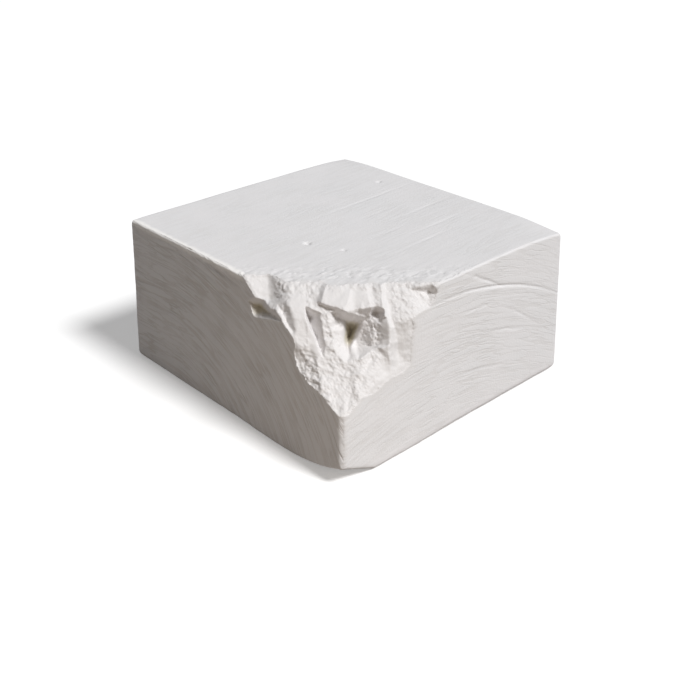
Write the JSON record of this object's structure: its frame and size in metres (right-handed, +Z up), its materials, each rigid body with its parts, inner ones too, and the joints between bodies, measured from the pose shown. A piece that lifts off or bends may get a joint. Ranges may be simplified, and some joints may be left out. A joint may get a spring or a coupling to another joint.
{
  "type": "climbing chalk block",
  "caption": "Pressed block of climbing chalk, nearly square in plan, with worn edges and one upper corner broken away to a rough, crumbly slope.",
  "frame": {"origin": "middle of the base, on the surface that the block stands on", "axes": "+X along the longer side of the base, +Y along the shorter side, +Z up through the height. The broken corner is the upper one at +X, -Y"},
  "size_m": [0.0618, 0.0584, 0.0297],
  "materials": {
    "chalk": "matt pressed magnesium carbonate powder, off-white, dry and dusty"
  },
  "bodies": {
    "root": {"chalk_block": "chalk"}
  },
  "joints": []
}
